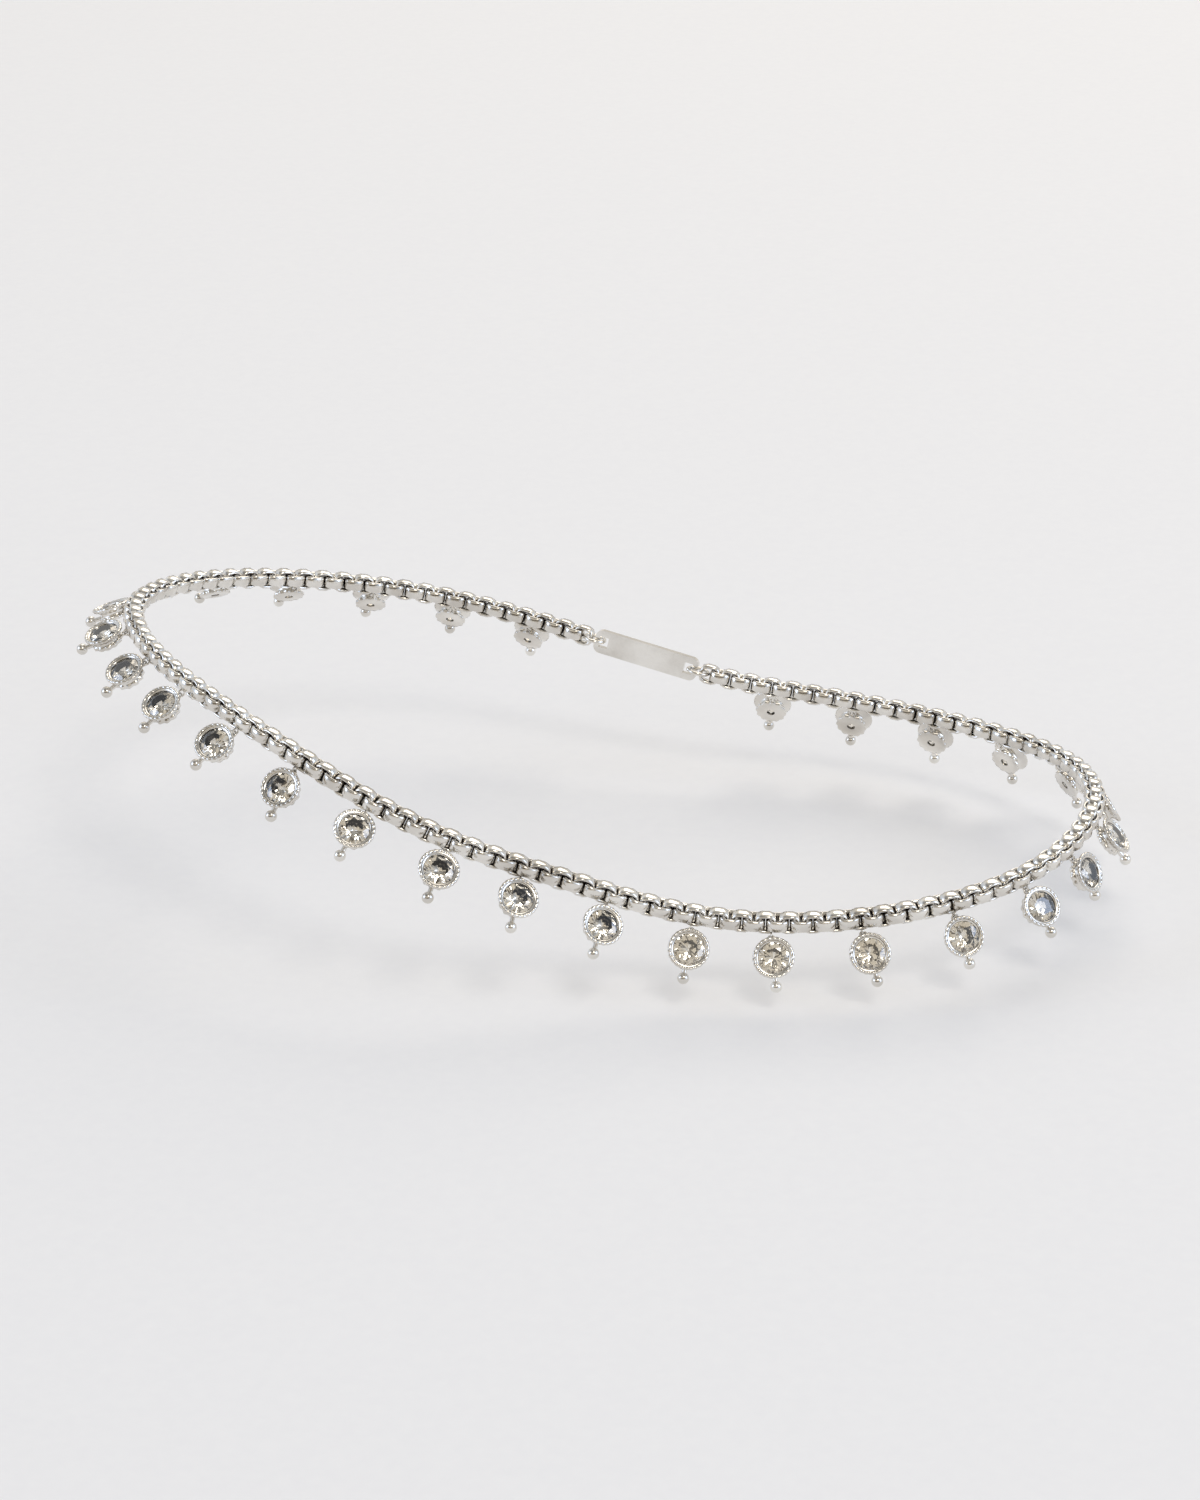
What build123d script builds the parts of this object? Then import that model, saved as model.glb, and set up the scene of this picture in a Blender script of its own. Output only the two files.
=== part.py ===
"""A payal anklet: a closed box chain with bezel-set round stones hanging all the way round.

Millimetres, +Z up. The origin is the middle of the ankle opening, +X points to the heel and
-Y to the outer side of the leg. The chain lies on one closed curve in space, and every piece
is placed by its distance along that curve.
"""
from bisect import bisect_right
from math import cos, radians, sin
import os

from build123d import *

# The closed curve, one row for each 22.5 degrees from the heel, counter-clockwise from above.
# Reach is the distance from the origin in plan. Roll and lean say how far the chain's front
# face and the drops' fronts look up from level, in degrees.
#        reach, height, roll, lean
COURSE = (
    (61.0, -6.0, -8, 32),
    (54.5, -8.0, -8, 24),
    (41.0, -7.5, -8, 26),
    (31.5, -5.5, -8, 30),
    (29.5, -3.0, -8, 32),
    (34.5, -0.5, -8, 34),
    (47.0, 3.0, -4, 42),
    (58.6, 8.0, 5, 58),
    (63.7, 13.0, 13, 70),
    (58.9, 14.0, 13, 56),
    (52.5, 11.0, 6, 47),
    (46.5, 3.5, -3, 48),
    (39.5, -4.0, -8, 44),
    (39.0, -9.0, -8, 35),
    (47.0, -9.5, -8, 30),
    (57.5, -7.5, -8, 32),
)
STATION_STEP = 360 / len(COURSE)
CURVE_SAMPLES = 1440  # short chords that measure the curve's length
SPLINE_SWEEPS = 40    # rounds of averaging that settle a spline's control values
TRAVEL_STEP = 0.05    # degrees to each side of a point, for the curve's direction there

# Box chain: closed rings of flat strip, one lying, one standing.
LINK_COUNT = 219  # odd, so that both ends of the chain are lying links
PITCH = 1.44
LINK_LENGTH = 2.6
LINK_WIDTH = 2.6
STRIP_WIDTH = 1.46
STRIP_THICKNESS = 0.43
LINK_CORNER = 0.42
CHAIN_START = 87.6  # distance along the curve from the heel to the first link

# Drops, counted in links from the first link: (place, tip, swing, twist), angles in degrees.
# Tip adds to the course's lean, swing is along the chain and twist is about the drop's length.
DROPS = (
    (5.8, 0, 0, 0), (13.3, 0, 0, 0), (20.8, 0, 0, 0), (28.3, 0, 0, 0), (35.8, 0, 0, 0),
    (43.3, 0, 0, 0), (50.8, 0, 0, 0), (57.9, 4, -6, 10), (65.3, 3, 6, 11), (72.6, 6, 1, 9),
    (80.4, 4, -12, 5), (87.2, -4, 9, -3), (94.8, 6, 3, 3), (102.0, 2, 0, -1), (108.7, 0, 2, -2),
    (116.5, 2, -3, -2), (123.9, 0, 0, 0), (130.5, 2, 7, 1), (138.1, 0, 10, -2),
    (146.2, -2, 3, -5), (153.5, 4, 5, -6), (160.1, -7, 13, 1), (166.8, 8, 5, 2),
    (174.2, 0, 3, 0), (181.7, 0, 0, 0), (189.2, 0, -2, 0), (196.7, 0, 0, 0),
    (204.2, 0, 2, 0), (211.7, 0, 0, 0),
)

# The small ring soldered to the chain, and the drop's loop that hangs in it.
CHAIN_RING_RADIUS = 0.45
LOOP_RADIUS = 0.42
RING_WIRE = 0.26
RING_BELOW = 1.5  # from the chain's middle to the ring's middle
RING_BEFORE = 0.6
RING_SHIFT = 0.95  # furthest place from the link's middle
LOOP_GAP = 0.13

# Setting: a round cup with a beaded rim, a waist and a base flange.
RIM_RADIUS = 2.6
RIM_FACE_RADIUS = 2.4
RIM_DEPTH = 0.45
LIP_RADIUS = 1.95
LIP_DEPTH = 0.1
BORE_RADIUS = 2.12
WAIST_RADIUS = 1.75
WAIST_TOP = 1.0  # depths behind the rim's front
WAIST_BASE = 1.25
FLANGE_RADIUS = 2.1
FLANGE_TOP = 1.4
FLANGE_EDGE = 0.1
CUP_DEPTH = 1.95
CUP_INSIDE = ((1.45, 0.95), (0.55, 1.75))  # radius and depth of the cup's inner steps
LOOP_DEPTH = 1.5  # loop and ball behind the rim's front
LOOP_HEIGHT = 2.4
BALL_DROP = 3.43
BALL_RADIUS = 0.75
NECK_RADIUS = 0.3

# Stone: a round cut with eight sides to its table, girdle and point.
STONE_RADIUS = 2.0
TABLE_RADIUS = 1.15
TABLE_HEIGHT = 0.32
GIRDLE_TOP = -0.2
GIRDLE_BASE = -0.32
POINT_RADIUS = 0.1
POINT_DEPTH = 1.78
STONE_SIDES = 8

# Clasp and the two rings that join it to the chain's end links.
END_RING_RADIUS = 1.4
END_RING_WIRE = 0.5
END_RING_OUT = 1.63  # from the end link's middle to the ring's middle
CLASP_OUT = 1.76     # from the end link's middle to the clasp's end
CLASP_WIDTH = 3.2
CLASP_THICKNESS = 0.9
CLASP_CORNER = 0.96
CLASP_EYE_WALL = 0.7
CLASP_EYE_LENGTH = 1.2
CLASP_EYE_WIDTH = 1.5


def closed_spline(values):
    """Control values of the closed cubic spline that passes through the values."""
    controls = list(values)
    for _ in range(SPLINE_SWEEPS):
        controls = [
            (6 * value - controls[i - 1] - controls[(i + 1) % len(values)]) / 4
            for i, value in enumerate(values)
        ]
    return controls


def read_spline(controls, angle):
    """Value of a closed cubic spline at an angle in degrees."""
    place = angle % 360 / STATION_STEP
    first = int(place)
    f = place - first
    weights = ((1 - f) ** 3, 3 * f**3 - 6 * f**2 + 4, 1 + 3 * f + 3 * f**2 - 3 * f**3, f**3)
    near = (controls[(first + step) % len(controls)] for step in (-1, 0, 1, 2))
    return sum(weight * control for weight, control in zip(weights, near)) / 6


def course_column(formula):
    """Closed spline of a formula of each station's angle in radians and its row."""
    return closed_spline([
        formula(radians(i * STATION_STEP), row) for i, row in enumerate(COURSE)
    ])


X_COLUMN = course_column(lambda angle, row: row[0] * cos(angle))
Y_COLUMN = course_column(lambda angle, row: row[0] * sin(angle))
Z_COLUMN = course_column(lambda angle, row: row[1])
ROLL_COLUMN = course_column(lambda angle, row: row[2])
LEAN_COLUMN = course_column(lambda angle, row: row[3])


def curve_point(angle):
    return Vector(*(read_spline(column, angle) for column in (X_COLUMN, Y_COLUMN, Z_COLUMN)))


def measure_curve():
    """Angles of evenly spaced samples, and the length of the curve up to each."""
    angles = [360 * i / CURVE_SAMPLES for i in range(CURVE_SAMPLES + 1)]
    points = [curve_point(angle) for angle in angles]
    lengths = [0.0]
    for here, there in zip(points, points[1:]):
        lengths.append(lengths[-1] + (there - here).length)
    return angles, lengths


ANGLES, LENGTHS = measure_curve()


def angle_at(distance):
    """Angle of the point that lies this far along the curve."""
    distance = distance % LENGTHS[-1]
    i = min(bisect_right(LENGTHS, distance), CURVE_SAMPLES) - 1
    part = (distance - LENGTHS[i]) / (LENGTHS[i + 1] - LENGTHS[i])
    return ANGLES[i] + part * (ANGLES[i + 1] - ANGLES[i])


def turned(along, across, angle):
    """The first of two square directions, turned toward the second by an angle in degrees."""
    return along * cos(radians(angle)) + across * sin(radians(angle))


def course_frame(distance):
    """Point, direction of travel, level outward direction and the third one, upward."""
    angle = angle_at(distance)
    travel = (curve_point(angle + TRAVEL_STEP) - curve_point(angle - TRAVEL_STEP)).normalized()
    outward = Vector(travel.Y, -travel.X, 0).normalized()
    return curve_point(angle), travel, outward, outward.cross(travel), angle


def chain_plane(distance):
    """Plane with X along the chain, Y up its side and Z out of its front face."""
    point, travel, outward, upward, angle = course_frame(distance)
    front = turned(outward, upward, read_spline(ROLL_COLUMN, angle))
    return Plane(origin=point, x_dir=travel, z_dir=front)


def link_distance(number):
    return CHAIN_START + number * PITCH


def drop_mount(place):
    """The lying link that carries a drop, and the small ring's shift along it."""
    number = 2 * round(place / 2)
    shift = (place - number) * PITCH
    return number, max(-RING_SHIFT, min(RING_SHIFT, shift))


def ring_centre(place):
    """Middle of the small ring that carries the drop."""
    number, shift = drop_mount(place)
    local = Vector(shift, -RING_BELOW, RING_BEFORE)
    return chain_plane(link_distance(number)).from_local_coords(local)


def drop_plane(place, tip, swing, twist):
    """Plane of the rim's front, with Y up toward the loop and Z out of the stone."""
    number, shift = drop_mount(place)
    _, travel, outward, upward, angle = course_frame(link_distance(number) + shift)
    lean = read_spline(LEAN_COLUMN, angle) + tip
    front = turned(outward, upward, lean)
    down = turned(-upward, outward, lean)
    down = turned(down, travel, swing)
    side = front.cross(down)
    front = turned(front, -side, -twist)
    hang = CHAIN_RING_RADIUS + LOOP_HEIGHT + LOOP_RADIUS - RING_WIRE - LOOP_GAP
    origin = ring_centre(place) + down * hang + front * LOOP_DEPTH
    return Plane(origin=origin, x_dir=(-down).cross(front), z_dir=front)


def make_link():
    """A lying link: a closed strip round a hole that faces front and back."""
    with BuildPart() as link:
        with BuildSketch():
            Rectangle(LINK_LENGTH, LINK_WIDTH)
            chamfer(vertices(), LINK_CORNER)
            Rectangle(
                LINK_LENGTH - 2 * STRIP_THICKNESS,
                LINK_WIDTH - 2 * STRIP_THICKNESS,
                mode=Mode.SUBTRACT,
            )
        extrude(amount=STRIP_WIDTH / 2, both=True)
    return link.part


def make_ringed_link(link, shift):
    """A link with the small ring that carries a drop soldered at its lower front edge."""
    with BuildPart() as ringed:
        add(link)
        with Locations(Location((shift, -RING_BELOW, RING_BEFORE), (0, 90, 0))):
            Torus(CHAIN_RING_RADIUS, RING_WIRE / 2)
    return ringed.part


def make_setting():
    """One drop: cup, loop, neck and ball, soldered together, with the rim's front at z = 0."""
    (step_radius, step_depth), (hole_radius, hole_depth) = CUP_INSIDE
    with BuildPart() as setting:
        with BuildSketch(Plane.XZ):
            with BuildLine():
                Polyline(
                    (RIM_FACE_RADIUS, 0),
                    (LIP_RADIUS, 0),
                    (LIP_RADIUS, -LIP_DEPTH),
                    (BORE_RADIUS, -LIP_DEPTH),
                    (BORE_RADIUS, -RIM_DEPTH),
                    (step_radius, -step_depth),
                    (hole_radius, -hole_depth),
                    (hole_radius, -CUP_DEPTH),
                    (FLANGE_RADIUS - FLANGE_EDGE, -CUP_DEPTH),
                    (FLANGE_RADIUS, -CUP_DEPTH + FLANGE_EDGE),
                    (FLANGE_RADIUS, -FLANGE_TOP),
                    (WAIST_RADIUS, -WAIST_BASE),
                    (WAIST_RADIUS, -WAIST_TOP),
                    (RIM_FACE_RADIUS, -RIM_DEPTH),
                )
                ThreePointArc(
                    (RIM_FACE_RADIUS, -RIM_DEPTH),
                    (RIM_RADIUS, -RIM_DEPTH / 2),
                    (RIM_FACE_RADIUS, 0),
                )
            make_face()
        revolve(axis=Axis.Z)
        with Locations((0, LOOP_HEIGHT, -LOOP_DEPTH)):
            Torus(LOOP_RADIUS, RING_WIRE / 2)
        with BuildSketch(Plane.XZ.offset(WAIST_RADIUS)):
            with Locations((0, -LOOP_DEPTH)):
                Circle(NECK_RADIUS)
        extrude(amount=BALL_DROP - WAIST_RADIUS)
        with Locations((0, -BALL_DROP, -LOOP_DEPTH)):
            Sphere(BALL_RADIUS)
    return setting.part


def make_stone():
    """A cut stone with a table, eight crown facets, a thin girdle and eight facets below."""
    with BuildPart() as stone:
        with BuildSketch(Plane.XY.offset(GIRDLE_BASE)):
            RegularPolygon(STONE_RADIUS, STONE_SIDES)
        extrude(amount=GIRDLE_TOP - GIRDLE_BASE)
        with BuildSketch(Plane.XY.offset(GIRDLE_TOP)):
            RegularPolygon(STONE_RADIUS, STONE_SIDES)
        with BuildSketch(Plane.XY.offset(TABLE_HEIGHT)):
            RegularPolygon(TABLE_RADIUS, STONE_SIDES)
        loft(ruled=True)
        with BuildSketch(Plane.XY.offset(GIRDLE_BASE)):
            RegularPolygon(STONE_RADIUS, STONE_SIDES)
        with BuildSketch(Plane.XY.offset(-POINT_DEPTH)):
            RegularPolygon(POINT_RADIUS, STONE_SIDES)
        loft(ruled=True)
    return stone.part


def make_end_ring(number, toward_clasp):
    """A jump ring through an end link, lying across the clasp's eye."""
    centre = Vector(toward_clasp * END_RING_OUT, 0, 0)
    plane = chain_plane(link_distance(number))
    with BuildPart() as ring:
        with Locations(plane.location * Location(centre, (90, 0, 0))):
            Torus(END_RING_RADIUS, END_RING_WIRE / 2)
    return ring.part


def make_clasp():
    """A flat closed bar with an eye at each end, between the two ends of the chain."""
    start_plane = chain_plane(link_distance(0))
    end_plane = chain_plane(link_distance(LINK_COUNT - 1))
    after = start_plane.from_local_coords(Vector(-CLASP_OUT, 0, 0))
    before = end_plane.from_local_coords(Vector(CLASP_OUT, 0, 0))
    length = (after - before).length
    front = (start_plane.z_dir + end_plane.z_dir).normalized()
    bar = Plane(origin=(after + before) / 2, x_dir=after - before, z_dir=front)
    eye_middle = length / 2 - CLASP_EYE_WALL - CLASP_EYE_LENGTH / 2
    with BuildPart() as clasp:
        with BuildSketch(bar):
            Rectangle(length, CLASP_WIDTH)
            fillet(vertices(), CLASP_CORNER)
            with Locations((-eye_middle, 0), (eye_middle, 0)):
                Rectangle(CLASP_EYE_LENGTH, CLASP_EYE_WIDTH, mode=Mode.SUBTRACT)
        extrude(amount=CLASP_THICKNESS / 2, both=True)
    return clasp.part


def write_piece(shape, name):
    shape.label = name
    export_step(shape, f"parts/{name}.step")


def main():
    os.makedirs("parts", exist_ok=True)
    link = make_link()
    mounts = {}
    for place, *_ in DROPS:
        number, shift = drop_mount(place)
        mounts[number] = make_ringed_link(link, shift)
    links = []
    for number in range(LINK_COUNT):
        place = chain_plane(link_distance(number)).location
        if number in mounts:
            links.append(mounts[number].moved(place))
        elif number % 2:
            links.append(link.moved(place * Rotation(90, 0, 0)))
        else:
            links.append(link.moved(place))
    write_piece(Compound(children=links), "chain")

    setting = make_setting()
    stone = make_stone()
    stones = []
    for index, drop_values in enumerate(DROPS, start=1):
        location = drop_plane(*drop_values).location
        with BuildPart() as drop:
            with Locations(location):
                add(setting)
        write_piece(drop.part, f"drop_{index:02d}")
        stones.append(stone.moved(location))
    write_piece(Compound(children=stones), "stones")

    write_piece(make_clasp(), "clasp")
    write_piece(make_end_ring(0, -1), "end_ring_1")
    write_piece(make_end_ring(LINK_COUNT - 1, 1), "end_ring_2")


main()
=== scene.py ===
import math
from bisect import bisect_right

import bmesh
import bpy
from mathutils import Matrix, Vector


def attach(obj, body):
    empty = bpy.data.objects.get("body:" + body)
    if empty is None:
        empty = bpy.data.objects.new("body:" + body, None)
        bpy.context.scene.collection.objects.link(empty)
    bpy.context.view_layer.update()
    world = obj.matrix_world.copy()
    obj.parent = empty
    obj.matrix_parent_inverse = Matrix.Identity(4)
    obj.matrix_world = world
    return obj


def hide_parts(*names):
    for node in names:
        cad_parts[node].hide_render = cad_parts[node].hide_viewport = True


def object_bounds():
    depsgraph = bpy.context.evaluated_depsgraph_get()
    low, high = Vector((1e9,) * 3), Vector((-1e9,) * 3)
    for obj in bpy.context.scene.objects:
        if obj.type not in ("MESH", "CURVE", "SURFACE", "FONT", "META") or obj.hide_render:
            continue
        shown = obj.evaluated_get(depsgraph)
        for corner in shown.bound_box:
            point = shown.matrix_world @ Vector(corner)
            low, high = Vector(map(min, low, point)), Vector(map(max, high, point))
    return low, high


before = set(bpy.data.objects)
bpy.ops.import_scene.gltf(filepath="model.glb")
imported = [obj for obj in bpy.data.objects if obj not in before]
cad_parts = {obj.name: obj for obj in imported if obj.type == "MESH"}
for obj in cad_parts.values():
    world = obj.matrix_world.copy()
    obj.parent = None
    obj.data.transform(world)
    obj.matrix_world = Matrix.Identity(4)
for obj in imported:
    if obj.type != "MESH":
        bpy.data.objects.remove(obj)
cad_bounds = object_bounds()

# ---------------------------------------------------------------------------------------------
# The course that the anklet lies on.
# A chain worn round an ankle lies low over the heel and climbs over the instep. Everything on
# it is placed by its distance along one closed smooth line, with the way its front looks.
# ---------------------------------------------------------------------------------------------

MM = 0.001
#        reach, height in mm, roll of the chain and lean of the drops in degrees, every 22.5
#        degrees from the heel, counter-clockwise from above
COURSE = (
    (61.0, -6.0, -8, 32),
    (54.5, -8.0, -8, 24),
    (41.0, -7.5, -8, 26),
    (31.5, -5.5, -8, 30),
    (29.5, -3.0, -8, 32),
    (34.5, -0.5, -8, 34),
    (47.0, 3.0, -4, 42),
    (58.6, 8.0, 5, 58),
    (63.7, 13.0, 13, 70),
    (58.9, 14.0, 13, 56),
    (52.5, 11.0, 6, 47),
    (46.5, 3.5, -3, 48),
    (39.5, -4.0, -8, 44),
    (39.0, -9.0, -8, 35),
    (47.0, -9.5, -8, 30),
    (57.5, -7.5, -8, 32),
)
STATION_STEP = 360 / len(COURSE)
CURVE_SAMPLES = 1440  # short chords that measure the course's length
SPLINE_SWEEPS = 40    # rounds of averaging that settle a spline's control values
TRAVEL_STEP = 0.05    # degrees to each side of a point, for the course's direction there


def closed_spline(values):
    """Control values of the closed cubic spline that passes through the values."""
    controls = list(values)
    for _ in range(SPLINE_SWEEPS):
        controls = [
            (6 * value - controls[i - 1] - controls[(i + 1) % len(values)]) / 4
            for i, value in enumerate(values)
        ]
    return controls


def read_spline(controls, angle):
    """Value of a closed cubic spline at an angle in degrees."""
    place = angle % 360 / STATION_STEP
    first = int(place)
    f = place - first
    weights = ((1 - f) ** 3, 3 * f**3 - 6 * f**2 + 4, 1 + 3 * f + 3 * f**2 - 3 * f**3, f**3)
    near = (controls[(first + step) % len(controls)] for step in (-1, 0, 1, 2))
    return sum(weight * control for weight, control in zip(weights, near)) / 6


def course_column(formula):
    """Closed spline of a formula of each station's angle in radians and its row."""
    return closed_spline([
        formula(math.radians(i * STATION_STEP), row) for i, row in enumerate(COURSE)
    ])


X_COLUMN = course_column(lambda angle, row: row[0] * math.cos(angle) * MM)
Y_COLUMN = course_column(lambda angle, row: row[0] * math.sin(angle) * MM)
Z_COLUMN = course_column(lambda angle, row: row[1] * MM)
ROLL_COLUMN = course_column(lambda angle, row: row[2])
LEAN_COLUMN = course_column(lambda angle, row: row[3])


def curve_point(angle):
    """Point of the course at an angle in degrees."""
    return Vector([read_spline(column, angle) for column in (X_COLUMN, Y_COLUMN, Z_COLUMN)])


ANGLES = [360 * i / CURVE_SAMPLES for i in range(CURVE_SAMPLES + 1)]
LENGTHS = [0.0]
for step in range(CURVE_SAMPLES):
    chord = (curve_point(ANGLES[step + 1]) - curve_point(ANGLES[step])).length
    LENGTHS.append(LENGTHS[-1] + chord)


def angle_at(distance):
    """Angle of the point that lies this far along the course."""
    distance = distance % LENGTHS[-1]
    i = min(bisect_right(LENGTHS, distance), CURVE_SAMPLES) - 1
    part = (distance - LENGTHS[i]) / (LENGTHS[i + 1] - LENGTHS[i])
    return ANGLES[i] + part * (ANGLES[i + 1] - ANGLES[i])


def course_frame(distance):
    """Point, direction of travel, level outward direction, the third one, and the angle."""
    angle = angle_at(distance)
    travel = (curve_point(angle + TRAVEL_STEP) - curve_point(angle - TRAVEL_STEP)).normalized()
    outward = Vector((travel.y, -travel.x, 0)).normalized()
    return curve_point(angle), travel, outward, outward.cross(travel), angle


# ---------------------------------------------------------------------------------------------
# Silver.
# Rhodium-plated sterling silver, tumbled bright: a mirror with the faint orange peel that
# tumbling leaves, in soft patches of tone, with painted shade that darkens the gaps between parts.
# ---------------------------------------------------------------------------------------------

SILVER_PEEL_MM = 0.35             # drawn coarser than real, so that it shows
SILVER_PEEL_DEPTH = 0.02 * MM
SILVER_PEEL_STRENGTH = 0.12
SILVER_TONE_MM = 5.0
SILVER_TONE_SPREAD = (0.35, 0.7)  # part of the noise that runs from the light to the deep tone
SILVER_GAP_SHADE_MM = 0.5            # how near a neighbour must be for the painted gap shade
SILVER_GAP_SHADE_OPEN = (0.1, 0.6)   # how open a place is where it has the full painted shade, and none
NOISE_SPREAD = (0.3, 0.7)         # where nearly all of a noise texture's values lie


def linear(hex_colour):
    """An sRGB hex colour as linear red, green, blue and alpha."""
    values = [int(hex_colour[i:i + 2], 16) / 255 for i in (0, 2, 4)]
    return tuple(v / 12.92 if v <= 0.04045 else ((v + 0.055) / 1.055) ** 2.4 for v in values) + (1,)


def node(tree, kind, settings=None, **links):
    """Adds a node, sets its properties and fills its inputs with values or other sockets.

    An input goes by its name, with _ for a space, or by its number after an underscore.
    """
    made = tree.nodes.new(kind)
    for name, value in (settings or {}).items():
        setattr(made, name, value)
    for name, value in links.items():
        key = int(name[1:]) if name[0] == "_" and name[1:].isdigit() else name.replace("_", " ")
        socket = made.inputs[key]
        if isinstance(value, bpy.types.NodeSocket):
            tree.links.new(value, socket)
        else:
            socket.default_value = value
    return made


def new_material(name):
    """An empty node material: its tree and its surface output."""
    material = bpy.data.materials.new(name)
    material.use_nodes = True
    material.node_tree.nodes.clear()
    return material, material.node_tree, material.node_tree.nodes.new("ShaderNodeOutputMaterial")


def make_silver(name, light, deep, gap_shade, smoothest, roughest):
    """Silver between two tones and two roughnesses, with painted shade in its narrow gaps."""
    material, tree, output = new_material(name)
    place = node(tree, "ShaderNodeTexCoord").outputs["Object"]
    tone = node(tree, "ShaderNodeTexNoise", Vector=place, Scale=1 / (SILVER_TONE_MM * MM),
                Detail=3.0)
    peel = node(tree, "ShaderNodeTexNoise", Vector=place, Scale=1 / (SILVER_PEEL_MM * MM),
                Detail=2.0)
    toned = node(tree, "ShaderNodeMapRange", Value=tone.outputs["Fac"],
                 From_Min=SILVER_TONE_SPREAD[0], From_Max=SILVER_TONE_SPREAD[1])
    metal = node(tree, "ShaderNodeMix", {"data_type": "RGBA"}, _0=toned.outputs["Result"],
                 _6=linear(light), _7=linear(deep))
    # Painted shade: the ambient occlusion below darkens the colour toward the gap tone where
    # neighbours are near.
    opening = node(tree, "ShaderNodeAmbientOcclusion", {"samples": 8},
                   Distance=SILVER_GAP_SHADE_MM * MM)
    unshaded = node(tree, "ShaderNodeMapRange", Value=opening.outputs["AO"],
                   From_Min=SILVER_GAP_SHADE_OPEN[0], From_Max=SILVER_GAP_SHADE_OPEN[1])
    colour = node(tree, "ShaderNodeMix", {"data_type": "RGBA"}, _0=unshaded.outputs["Result"],
                  _6=linear(gap_shade), _7=metal.outputs[2])
    rough = node(tree, "ShaderNodeMapRange", Value=peel.outputs["Fac"],
                 From_Min=NOISE_SPREAD[0], From_Max=NOISE_SPREAD[1],
                 To_Min=smoothest, To_Max=roughest)
    bump = node(tree, "ShaderNodeBump", Strength=SILVER_PEEL_STRENGTH,
                Distance=SILVER_PEEL_DEPTH, Height=peel.outputs["Fac"])
    shader = node(tree, "ShaderNodeBsdfPrincipled", Base_Color=colour.outputs[2], Metallic=1.0,
                  Roughness=rough.outputs["Result"], Normal=bump.outputs["Normal"])
    tree.links.new(shader.outputs["BSDF"], output.inputs["Surface"])
    return material


# A bright warm white metal, nearly a mirror.
# Its gap colour 332D27 is painted shade for the narrow gaps between links and parts.
silver = make_silver("rhodium plated silver", light="EEEBE5", deep="CFCAC2", gap_shade="332D27",
                     smoothest=0.08, roughest=0.2)


# ---------------------------------------------------------------------------------------------
# The box chain.
# A Venetian chain of closed links, each bent from flat silver strip into a box with rounded
# corners. Links lie and stand by turns, each with its end bars inside its neighbours.
# ---------------------------------------------------------------------------------------------

LINK_COUNT = 219
PITCH = 1.44 * MM
CHAIN_START = 87.6 * MM
LINK_LENGTH = 2.8 * MM
LINK_WIDTH = 2.6 * MM
STRIP_WIDTH = 1.46 * MM
STRIP_THICKNESS = 0.43 * MM
LINK_BEND = 0.76 * MM   # centre-line radius of the link's corners
STRIP_EDGE = 0.17 * MM  # rounding along the strip's edges
CREASE_ANGLE = 50       # edges that turn by more degrees than this stay sharp

# The small ring soldered under every seventh or eighth link, which carries a drop.
CHAIN_RING_RADIUS = 0.45 * MM
RING_WIRE = 0.26 * MM
RING_BELOW = 1.5 * MM   # from the link's middle to the ring's middle
RING_BEFORE = 0.6 * MM
RING_SHIFT = 0.95 * MM  # furthest place from the link's middle, along the chain

# Drops, counted in links from the first link: (place, tip, swing, twist), angles in degrees.
# Tip adds to the course's lean, swing is along the chain and twist is about the drop's length.
DROPS = (
    (5.8, 0, 0, 0), (13.3, 0, 0, 0), (20.8, 0, 0, 0), (28.3, 0, 0, 0), (35.8, 0, 0, 0),
    (43.3, 0, 0, 0), (50.8, 0, 0, 0), (57.9, 4, -6, 10), (65.3, 3, 6, 11), (72.6, 6, 1, 9),
    (80.4, 4, -12, 5), (87.2, -4, 9, -3), (94.8, 6, 3, 3), (102.0, 2, 0, -1), (108.7, 0, 2, -2),
    (116.5, 2, -3, -2), (123.9, 0, 0, 0), (130.5, 2, 7, 1), (138.1, 0, 10, -2),
    (146.2, -2, 3, -5), (153.5, 4, 5, -6), (160.1, -7, 13, 1), (166.8, 8, 5, 2),
    (174.2, 0, 3, 0), (181.7, 0, 0, 0), (189.2, 0, -2, 0), (196.7, 0, 0, 0),
    (204.2, 0, 2, 0), (211.7, 0, 0, 0),
)


def turned(along, across, angle):
    """The first of two square directions, turned toward the second by an angle in degrees."""
    return along * math.cos(math.radians(angle)) + across * math.sin(math.radians(angle))


def placed(x_axis, y_axis, z_axis, origin):
    """Matrix that takes a piece's own axes and origin to these."""
    matrix = Matrix((x_axis, y_axis, z_axis)).transposed().to_4x4()
    matrix.translation = origin
    return matrix


def link_distance(number):
    """Distance along the course to the middle of a link, counted from 0."""
    return CHAIN_START + number * PITCH


def chain_matrix(distance):
    """Place on the chain, with X along it, Y up its side and Z out of its front face."""
    point, travel, outward, upward, angle = course_frame(distance)
    front = turned(outward, upward, read_spline(ROLL_COLUMN, angle))
    return placed(travel, front.cross(travel), front, point)


def drop_mount(place):
    """The lying link that carries a drop, and the small ring's shift along it."""
    number = 2 * round(place / 2)
    shift = (place - number) * PITCH
    return number, max(-RING_SHIFT, min(RING_SHIFT, shift))


def ring_matrix(place):
    """Place of the small ring that carries a drop: its own plane holds Y and Z."""
    number, shift = drop_mount(place)
    local = Matrix.Translation((shift, -RING_BELOW, RING_BEFORE))
    return chain_matrix(link_distance(number)) @ local


def tree_input(tree, name, value):
    """A named length among a geometry tree's inputs, and the identifier of its socket."""
    socket = tree.interface.new_socket(name, in_out="INPUT", socket_type="NodeSocketFloat")
    socket.default_value = value
    return socket.identifier


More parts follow.
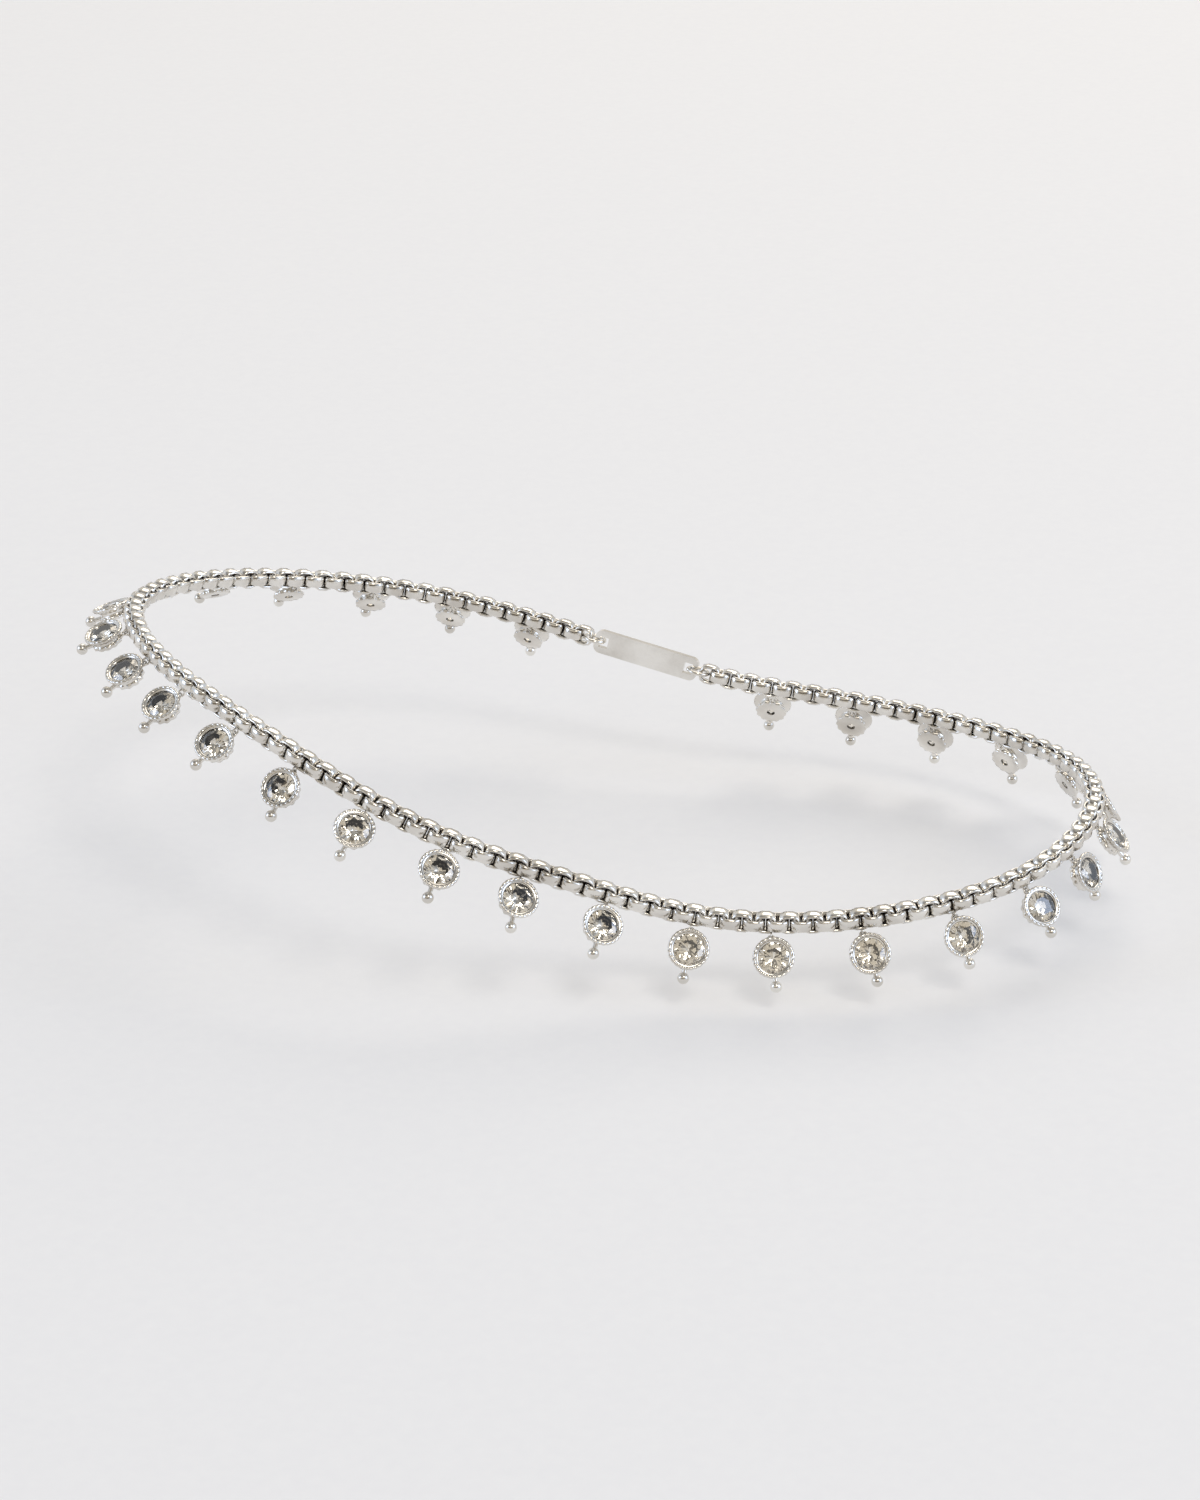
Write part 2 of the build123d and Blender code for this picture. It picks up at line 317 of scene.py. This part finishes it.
def repeat_tree(name, shape, sizes, material):
    """A geometry tree that sets one shape on every point, turned by the point's own turn."""
    tree = bpy.data.node_groups.new(name, "GeometryNodeTree")
    tree.interface.new_socket("Points", in_out="INPUT", socket_type="NodeSocketGeometry")
    tree.interface.new_socket("Geometry", in_out="OUTPUT", socket_type="NodeSocketGeometry")
    identifiers = {tree_input(tree, label, value): value for label, value in sizes.items()}
    start = node(tree, "NodeGroupInput")
    turn = node(tree, "GeometryNodeInputNamedAttribute", {"data_type": "QUATERNION"}, Name="turn")
    copies = node(
        tree, "GeometryNodeInstanceOnPoints", Points=start.outputs["Points"],
        Instance=shape(tree, start.outputs), Rotation=turn.outputs["Attribute"],
    )
    real = node(tree, "GeometryNodeRealizeInstances", Geometry=copies.outputs["Instances"])
    dressed = node(
        tree, "GeometryNodeSetMaterial", Geometry=real.outputs["Geometry"], Material=material,
    )
    end = node(tree, "NodeGroupOutput")
    tree.links.new(dressed.outputs["Geometry"], end.inputs["Geometry"])
    return tree, identifiers


def link_shape(tree, size):
    """A strip of rounded section bent round a rounded box."""
    flat = node(tree, "ShaderNodeMath", {"operation": "SUBTRACT"},
                _0=size["Link length"], _1=size["Strip thickness"])
    high = node(tree, "ShaderNodeMath", {"operation": "SUBTRACT"},
                _0=size["Link width"], _1=size["Strip thickness"])
    box = node(tree, "GeometryNodeCurvePrimitiveQuadrilateral",
               Width=flat.outputs[0], Height=high.outputs[0])
    bent = node(tree, "GeometryNodeFilletCurve", {"mode": "POLY"}, Curve=box.outputs[0],
                Radius=size["Bend"], Count=2)
    strip = node(tree, "GeometryNodeCurvePrimitiveQuadrilateral",
                 Width=size["Strip thickness"], Height=size["Strip width"])
    eased = node(tree, "GeometryNodeFilletCurve", {"mode": "POLY"}, Curve=strip.outputs[0],
                 Radius=size["Edge"], Count=1)
    return node(tree, "GeometryNodeCurveToMesh", Curve=bent.outputs[0],
                Profile_Curve=eased.outputs[0]).outputs[0]


def ring_shape(tree, size):
    """A round ring of round wire, turned so that it faces along the chain."""
    path = node(tree, "GeometryNodeCurvePrimitiveCircle", Resolution=20, Radius=size["Radius"])
    wire = node(tree, "GeometryNodeCurvePrimitiveCircle", Resolution=10, Radius=size["Wire"])
    ring = node(tree, "GeometryNodeCurveToMesh", Curve=path.outputs[0],
                Profile_Curve=wire.outputs[0])
    return node(tree, "GeometryNodeTransform", Geometry=ring.outputs[0],
                Rotation=(0, math.radians(90), 0)).outputs[0]


def repeated(name, matrices, shape, sizes, material):
    """A plain mesh of one shape set at every matrix."""
    points = bpy.data.meshes.new(name + " points")
    points.from_pydata([matrix.translation for matrix in matrices], [], [])
    turns = points.attributes.new("turn", "QUATERNION", "POINT")
    turns.data.foreach_set("value", [v for matrix in matrices for v in matrix.to_quaternion()])
    holder = bpy.data.objects.new(name, points)
    bpy.context.scene.collection.objects.link(holder)
    tree, identifiers = repeat_tree(name, shape, sizes, material)
    modifier = holder.modifiers.new("repeat", "NODES")
    modifier.node_group = tree
    for identifier, value in identifiers.items():
        modifier[identifier] = value
    bpy.context.view_layer.update()
    result = bpy.data.meshes.new_from_object(
        holder.evaluated_get(bpy.context.evaluated_depsgraph_get()))
    bpy.data.objects.remove(holder)
    bpy.data.node_groups.remove(tree)
    return result


def make_piece(name, meshes, materials):
    """One object of several meshes, with its faces outward and soft only where they curve."""
    shape = bmesh.new()
    for mesh in meshes:
        shape.from_mesh(mesh)
    bmesh.ops.recalc_face_normals(shape, faces=shape.faces)
    for face in shape.faces:
        face.smooth = True
    for edge in shape.edges:
        edge.smooth = edge.calc_face_angle(math.pi) < math.radians(CREASE_ANGLE)
    joined = bpy.data.meshes.new(name)
    shape.to_mesh(joined)
    shape.free()
    joined.materials.clear()
    for material in materials:
        joined.materials.append(material)
    piece = bpy.data.objects.new(name, joined)
    bpy.context.scene.collection.objects.link(piece)
    return piece


STANDING = Matrix.Rotation(math.radians(90), 4, "X")
link_places = [
    chain_matrix(link_distance(number)) @ (STANDING if number % 2 else Matrix.Identity(4))
    for number in range(LINK_COUNT)
]
links = repeated("box chain links", link_places, link_shape, {
    "Link length": LINK_LENGTH,
    "Link width": LINK_WIDTH,
    "Strip width": STRIP_WIDTH,
    "Strip thickness": STRIP_THICKNESS,
    "Bend": LINK_BEND,
    "Edge": STRIP_EDGE,
}, silver)
rings = repeated("drop rings", [ring_matrix(place) for place, *_ in DROPS], ring_shape, {
    "Radius": CHAIN_RING_RADIUS,
    "Wire": RING_WIRE / 2,
}, silver)
box_chain = make_piece("box_chain", [links, rings], [silver])
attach(box_chain, "root")
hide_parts("chain")


# ---------------------------------------------------------------------------------------------
# The settings.
# Each drop is a cast cup with a milled bead edge, a drawn-in waist and a scalloped foot. A wire
# loop is soldered at its top, behind the edge, and a small polished ball at its bottom.
# ---------------------------------------------------------------------------------------------

ROPE_RADIUS = 2.35        # millimetres, as the rest of the cup's wall below
ROPE_DEPTH = 0.26
ROPE_THICKNESS = 0.13     # radius of the rope under its beads
ROPE_BEAD = 0.11
ROPE_BEADS = 24
ROPE_BEAD_FULLNESS = 0.5  # under 1, so that beads are full and the cuts between them narrow
ROPE_SLANT = 0.9          # how far a bead leans from the rope's inside to its outside
ROPE_PLACES = (150, 125, 100, 75, 50, 25, 0, -30, -60)  # degrees round the rope's own section
FOOT_LOBES = 12
FOOT_LOBE_DEPTH = 0.09
FOOT_INSIDE = 1.85        # the lobes are in the part of the wall outside this radius
FOOT_TOP = -1.4           # and below this height
CUP_SIDES = 120
SEAT_FACES = 5            # faces of the wall's section, from its end, that get the darker seat silver, a painted shade
LOOP_DEPTH = 1.5 * MM
LOOP_HEIGHT = 2.4 * MM
LOOP_RADIUS = 0.42 * MM
LOOP_GAP = 0.13 * MM
BALL_DROP = 3.43 * MM
BALL_RADIUS = 0.73 * MM
WAIST_RADIUS = 1.75 * MM
NECK_RADIUS = 0.3 * MM

#    radius and height along the cup's wall: from the seat's back hole out over the foot, up
#    past the waist to the rope, and from the polished lip down into the seat
CUP_OUTSIDE = (
    (0.55, -1.75), (0.55, -1.93), (0.62, -1.95), (1.5, -1.95), (1.92, -1.93), (2.0, -1.86),
    (2.0, -1.52), (1.94, -1.43), (1.8, -1.36), (1.74, -1.24), (1.74, -1.02), (1.84, -0.86),
    (2.1, -0.66), (2.32, -0.56),
)
CUP_INSIDE = (
    (2.17, -0.12), (2.1, -0.12), (1.98, -0.17), (1.89, -0.23), (1.87, -0.29), (2.03, -0.34),
    (2.03, -0.46), (1.5, -1.1),
)


def drop_matrix(place, tip, swing, twist):
    """Place of a drop: the origin is the middle of its rim's front, with Y up to the loop."""
    number, shift = drop_mount(place)
    _, travel, outward, upward, angle = course_frame(link_distance(number) + shift)
    lean = read_spline(LEAN_COLUMN, angle) + tip
    front = turned(outward, upward, lean)
    down = turned(turned(-upward, outward, lean), travel, swing)
    side = front.cross(down)
    front = turned(front, -side, -twist)
    hang = CHAIN_RING_RADIUS + LOOP_HEIGHT + LOOP_RADIUS - RING_WIRE - LOOP_GAP
    origin = ring_matrix(place).translation + down * hang + front * LOOP_DEPTH
    return placed((-down).cross(front), -down, front, origin)


def rope_point(turn, place):
    """Radius and height of the beaded rope at a turn round the cup and a place round itself."""
    phase = ROPE_BEADS / 2 * turn + ROPE_SLANT * math.radians(place)
    thickness = ROPE_THICKNESS + ROPE_BEAD * abs(math.cos(phase)) ** ROPE_BEAD_FULLNESS
    return (ROPE_RADIUS + thickness * math.cos(math.radians(place)),
            -ROPE_DEPTH + thickness * math.sin(math.radians(place)))


def foot_point(turn, radius, height):
    """A point of the cup's foot, drawn out into round lobes."""
    if radius > FOOT_INSIDE and height < FOOT_TOP:
        radius += FOOT_LOBE_DEPTH * math.cos(FOOT_LOBES * turn)
    return radius, height


def cup_wall(turn):
    """The cup's whole closed wall at one turn."""
    outside = [foot_point(turn, radius, height) for radius, height in CUP_OUTSIDE]
    rope = [rope_point(turn, place) for place in reversed(ROPE_PLACES)]
    return outside + rope + list(CUP_INSIDE)


def add_cup(shape):
    """Adds the turned cup. Its seat gets the second material, a darker silver that paints the shade
    inside the lip.
    """
    rings = []
    for side in range(CUP_SIDES):
        turn = math.tau * side / CUP_SIDES
        rings.append([
            shape.verts.new((
                radius * MM * math.cos(turn), radius * MM * math.sin(turn), height * MM))
            for radius, height in cup_wall(turn)])
    count = len(rings[0])
    for here, there in zip(rings, rings[1:] + rings[:1]):
        for i in range(count):
            after = (i + 1) % count
            face = shape.faces.new((here[i], there[i], there[after], here[after]))
            # The seat's faces take the darker silver, which paints the shade inside the lip.
            face.material_index = 1 if i >= count - SEAT_FACES else 0


def add_torus(shape, radius, wire, centre, around=24, across=10):
    """Adds a round ring of round wire that lies in the XY plane."""
    grid = [[
        shape.verts.new(centre + Vector((
            (radius + wire * math.cos(math.tau * j / across)) * math.cos(math.tau * i / around),
            (radius + wire * math.cos(math.tau * j / across)) * math.sin(math.tau * i / around),
            wire * math.sin(math.tau * j / across))))
        for j in range(across)] for i in range(around)]
    for i in range(around):
        for j in range(across):
            shape.faces.new((
                grid[i][j], grid[(i + 1) % around][j],
                grid[(i + 1) % around][(j + 1) % across], grid[i][(j + 1) % across]))


def make_setting():
    """One drop of metal in its own axes."""
    shape = bmesh.new()
    add_cup(shape)
    add_torus(shape, LOOP_RADIUS, RING_WIRE / 2, Vector((0, LOOP_HEIGHT, -LOOP_DEPTH)))
    bmesh.ops.create_cone(
        shape, segments=14, radius1=NECK_RADIUS, radius2=NECK_RADIUS,
        depth=BALL_DROP - WAIST_RADIUS, cap_ends=True,
        matrix=Matrix.Translation((0, -(BALL_DROP + WAIST_RADIUS) / 2, -LOOP_DEPTH))
        @ Matrix.Rotation(math.radians(90), 4, "X"))
    bmesh.ops.create_uvsphere(
        shape, u_segments=28, v_segments=18, radius=BALL_RADIUS,
        matrix=Matrix.Translation((0, -BALL_DROP, -LOOP_DEPTH)))
    mesh = bpy.data.meshes.new("setting")
    shape.to_mesh(mesh)
    shape.free()
    return mesh


# Matt, with its greys darkened as painted shade, so that a thin dark ring runs round each stone.
seat_shade_silver = make_silver("seat silver with painted shade", light="A39C91", deep="7C766D", gap_shade="1F1C19",
                          smoothest=0.3, roughest=0.5)
setting = make_setting()
for index, drop_values in enumerate(DROPS, start=1):
    hung = setting.copy()
    hung.transform(drop_matrix(*drop_values))
    drop = make_piece(f"setting_{index:02d}", [hung], [silver, seat_shade_silver])
    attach(drop, "root")
    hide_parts(f"drop_{index:02d}")


# ---------------------------------------------------------------------------------------------
# The stones.
# Round brilliant-cut cubic zirconia, 4 mm across, each held by the cup's lip over its girdle:
# a table, eight stars, eight kites and sixteen girdle facets above, twenty-four facets below.
# ---------------------------------------------------------------------------------------------

STONE_RADIUS = 2.0 * MM
TABLE_RADIUS = 1.12 * MM
STAR_RADIUS = 1.5 * MM
GIRDLE_TOP = -0.38 * MM
GIRDLE_BASE = -0.43 * MM
LOWER_RADIUS = 0.48 * MM
CULET_RADIUS = 0.12 * MM
CROWN_SLOPE = math.tan(math.radians(24.5))
PAVILION_SLOPE = math.tan(math.radians(38.5))
HALF_EIGHTH = math.cos(math.radians(22.5))  # a facet's middle radius over its corner's
STONE_TURN = 0.7  # radians from one stone to the next: each sits in its cup as it fell
STONE_CLEAR = "F2ECE0"
STONE_IOR = 2.16
STONE_HAZE_MM = 2.5
STONE_HAZE_ROUGHNESS = 0.03


def make_stone_material():
    """Polished cubic zirconia: clear, with a high refraction that makes it flash."""
    material, tree, output = new_material("cubic zirconia")
    place = node(tree, "ShaderNodeTexCoord").outputs["Object"]
    haze = node(tree, "ShaderNodeTexNoise", Vector=place, Scale=1 / (STONE_HAZE_MM * MM),
                Detail=1.0)
    rough = node(tree, "ShaderNodeMapRange", Value=haze.outputs["Fac"],
                 From_Min=NOISE_SPREAD[0], From_Max=NOISE_SPREAD[1],
                 To_Min=0.0, To_Max=STONE_HAZE_ROUGHNESS)
    shader = node(
        tree, "ShaderNodeBsdfPrincipled", Base_Color=linear(STONE_CLEAR),
        Roughness=rough.outputs["Result"], IOR=STONE_IOR, Transmission_Weight=1.0,
    )
    tree.links.new(shader.outputs["BSDF"], output.inputs["Surface"])
    return material


def make_stone():
    """One brilliant in the setting's axes."""
    shape = bmesh.new()

    def ring(count, radius, height, start):
        return [shape.verts.new((
            radius * math.cos(math.tau * (i + start) / count),
            radius * math.sin(math.tau * (i + start) / count), height)) for i in range(count)]

    def crown(radius):
        return GIRDLE_TOP + (STONE_RADIUS - radius) * CROWN_SLOPE

    def pavilion(radius):
        return GIRDLE_BASE - (STONE_RADIUS - radius) * PAVILION_SLOPE

    table = ring(8, TABLE_RADIUS, crown(TABLE_RADIUS), 0.5)
    star = ring(8, STAR_RADIUS, crown(STAR_RADIUS * HALF_EIGHTH), 0)
    top = ring(16, STONE_RADIUS, GIRDLE_TOP, 0)
    base = ring(16, STONE_RADIUS, GIRDLE_BASE, 0)
    lower = ring(8, LOWER_RADIUS, pavilion(LOWER_RADIUS * HALF_EIGHTH), 0)
    culet = ring(8, CULET_RADIUS, pavilion(CULET_RADIUS * HALF_EIGHTH), 0)
    shape.faces.new(culet)
    shape.faces.new(table)
    for i in range(8):
        after = (i + 1) % 8
        shape.faces.new((table[i - 1], star[i], table[i]))
        shape.faces.new((table[i], star[i], top[2 * i + 1], star[after]))
        shape.faces.new((star[i], top[2 * i], top[2 * i + 1]))
        shape.faces.new((star[i], top[2 * i - 1], top[2 * i]))
        shape.faces.new((lower[i], base[2 * i], base[2 * i + 1]))
        shape.faces.new((lower[i], base[2 * i - 1], base[2 * i]))
        shape.faces.new((lower[i], base[2 * i + 1], lower[after], culet[after], culet[i]))
    for i in range(16):
        shape.faces.new((top[i - 1], top[i], base[i], base[i - 1]))
    bmesh.ops.recalc_face_normals(shape, faces=shape.faces)
    mesh = bpy.data.meshes.new("brilliant")
    shape.to_mesh(mesh)
    shape.free()
    return mesh


cubic_zirconia = make_stone_material()
brilliant = make_stone()
all_stones = bmesh.new()
for index, drop_values in enumerate(DROPS):
    held = brilliant.copy()
    held.transform(drop_matrix(*drop_values) @ Matrix.Rotation(STONE_TURN * index, 4, "Z"))
    all_stones.from_mesh(held)
stones_mesh = bpy.data.meshes.new("cut_stones")
all_stones.to_mesh(stones_mesh)
all_stones.free()
stones_mesh.materials.append(cubic_zirconia)
cut_stones = bpy.data.objects.new("cut_stones", stones_mesh)
bpy.context.scene.collection.objects.link(cut_stones)
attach(cut_stones, "root")
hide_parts("stones")


# ---------------------------------------------------------------------------------------------
# The clasp and its two rings.
# A flat closed bar with an eye at each end, joined to the chain's last links by two plain
# jump rings. They sit on the inner side of the leg.
# ---------------------------------------------------------------------------------------------

for name in ("clasp", "end_ring_1", "end_ring_2"):
    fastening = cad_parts[name]
    fastening.data.materials.clear()
    fastening.data.materials.append(silver)


# ---------------------------------------------------------------------------------------------
# The room: a pale floor, soft lamps and the camera.
# The anklet keeps its worn place above the floor, as it would be on a foot.
# ---------------------------------------------------------------------------------------------

FLOOR_DROP = 3 * MM      # from the anklet's lowest point to the floor
FLOOR_RADIUS = 1.1       # metres
FLOOR_SIDES = 96
FLOOR_FADE = (0.5, 1.0)  # metres from the middle where the card turns into the backdrop
FLOOR_PALE = "ECECED"
FLOOR_FLECK = "E8E8EA"
FLOOR_GRAIN_MM = 1.5
BACKDROP_TONE = "E9E9E9"


def make_floor():
    """A round pale matt card, which takes soft shadows and turns into the backdrop outward."""
    material, tree, output = new_material("matt white card")
    place = node(tree, "ShaderNodeTexCoord").outputs["Object"]
    grain = node(tree, "ShaderNodeTexNoise", Vector=place, Scale=1 / (FLOOR_GRAIN_MM * MM),
                 Detail=2.0)
    colour = node(tree, "ShaderNodeMix", {"data_type": "RGBA"}, _0=grain.outputs["Fac"],
                  _6=linear(FLOOR_PALE), _7=linear(FLOOR_FLECK))
    card = node(tree, "ShaderNodeBsdfPrincipled", Base_Color=colour.outputs[2], Roughness=0.9)
    backdrop = node(tree, "ShaderNodeEmission", Color=linear(BACKDROP_TONE), Strength=1.0)
    distance = node(tree, "ShaderNodeVectorMath", {"operation": "LENGTH"}, _0=place)
    fade = node(tree, "ShaderNodeMapRange", Value=distance.outputs["Value"],
                From_Min=FLOOR_FADE[0], From_Max=FLOOR_FADE[1])
    surface = node(tree, "ShaderNodeMixShader", _0=fade.outputs["Result"],
                   _1=card.outputs["BSDF"], _2=backdrop.outputs["Emission"])
    tree.links.new(surface.outputs["Shader"], output.inputs["Surface"])
    height = cad_bounds[0][2] - FLOOR_DROP
    turns = [math.tau * side / FLOOR_SIDES for side in range(FLOOR_SIDES)]
    mesh = bpy.data.meshes.new("floor")
    mesh.from_pydata(
        [(FLOOR_RADIUS * math.cos(turn), FLOOR_RADIUS * math.sin(turn), height) for turn in turns],
        [], [tuple(range(FLOOR_SIDES))])
    mesh.materials.append(material)
    floor = bpy.data.objects.new("floor", mesh)
    bpy.context.scene.collection.objects.link(floor)


make_floor()


def aim(thing, place, target):
    """Puts a lamp or the camera at a place and points it at a target."""
    thing.location = place
    thing.rotation_euler = (Vector(target) - Vector(place)).to_track_quat("-Z", "Y").to_euler()


#    name, place, size in metres, power in watts, colour
LAMPS = (
    ("key softbox above and behind", (0.15, 0.9, 0.95), 1.0, 6.2, "FFF7EB"),
    ("front softbox", (0.45, -0.75, 1.15), 0.4, 3.4, "FFFAF2"),
    ("left softbox", (-1.1, -0.4, 0.45), 0.6, 2.8, "D2E2FF"),
    ("right softbox", (1.1, -0.2, 0.45), 0.6, 2.8, "D2E2FF"),
)
for name, place, size, power, colour in LAMPS:
    lamp = bpy.data.lights.new(name, "AREA")
    lamp.shape = "SQUARE"
    lamp.size = size
    lamp.energy = power
    lamp.color = linear(colour)[:3]
    holder = bpy.data.objects.new(name, lamp)
    bpy.context.scene.collection.objects.link(holder)
    aim(holder, place, (0, 0, 0))

#    the room's front from the floor up, as the metal mirrors it: sine of the height, colour
ROOM_BANDS = (
    (0.0, "CCC5BA"), (0.14, "D0C9BD"), (0.2, "4E473F"), (0.34, "5F574D"), (0.42, "D9D1C3"),
    (0.68, "E4DED3"), (0.76, "5E5850"), (1.0, "B4B3B0"),
)
#    each wall: colour, its share over the bands, and the sines where it starts and is full
ROOM_BACK = ("EEEBE5", 0.7, 0.1, 0.4)
ROOM_SIDES = ("DDE9FA", 0.85, 0.45, 0.9)
HORIZON_TOP = 0.06  # below this sine of the height, the room fades into the backdrop


def make_room_bands(tree, height):
    """Colour of the room's bands at a height."""
    bands = node(tree, "ShaderNodeValToRGB", Fac=height)
    stops = bands.color_ramp.elements
    for stop, (place, colour) in zip((stops[0], stops[1]), (ROOM_BANDS[0], ROOM_BANDS[-1])):
        stop.position = place
        stop.color = linear(colour)
    for place, colour in ROOM_BANDS[1:-1]:
        stops.new(place).color = linear(colour)
    return bands.outputs["Color"]


def lay_wall(tree, wall, toward, under):
    """A wall's colour laid over another, the more the direction points toward it."""
    colour, share, start, full = wall
    reach = node(tree, "ShaderNodeMapRange", Value=toward, From_Min=start, From_Max=full,
                 To_Max=share)
    return node(tree, "ShaderNodeMix", {"data_type": "RGBA"}, _0=reach.outputs["Result"],
                _6=under, _7=linear(colour)).outputs[2]


def make_room():
    """The light of a pale room, which the metal and the stones mirror."""
    room = bpy.data.worlds.new("studio")
    room.use_nodes = True
    tree = room.node_tree
    tree.nodes.clear()
    direction = node(tree, "ShaderNodeTexCoord").outputs["Generated"]
    heading = node(tree, "ShaderNodeSeparateXYZ", Vector=direction).outputs
    sideways = node(tree, "ShaderNodeMath", {"operation": "ABSOLUTE"}, _0=heading["X"])
    walls = make_room_bands(tree, heading["Z"])
    walls = lay_wall(tree, ROOM_BACK, heading["Y"], walls)
    walls = lay_wall(tree, ROOM_SIDES, sideways.outputs[0], walls)
    above = node(tree, "ShaderNodeMapRange", Value=heading["Z"], From_Min=0.0,
                 From_Max=HORIZON_TOP)
    around = node(tree, "ShaderNodeMix", {"data_type": "RGBA"}, _0=above.outputs["Result"],
                  _6=linear(BACKDROP_TONE), _7=walls)
    glow = node(tree, "ShaderNodeBackground", Color=around.outputs[2], Strength=1.0)
    node(tree, "ShaderNodeOutputWorld", Surface=glow.outputs["Background"])
    return room


scene = bpy.context.scene
scene.world = make_room()
scene.view_settings.view_transform = "Standard"

CAMERA_PLACE = (0.077, -0.4765, 0.2087)
CAMERA_TARGET = (-0.003, 0.0, -0.004)
camera_data = bpy.data.cameras.new("camera")
camera_data.sensor_fit = "HORIZONTAL"
camera_data.sensor_width = 36
camera_data.lens = 122
camera = bpy.data.objects.new("camera", camera_data)
scene.collection.objects.link(camera)
aim(camera, CAMERA_PLACE, CAMERA_TARGET)
bpy.context.scene.camera = camera
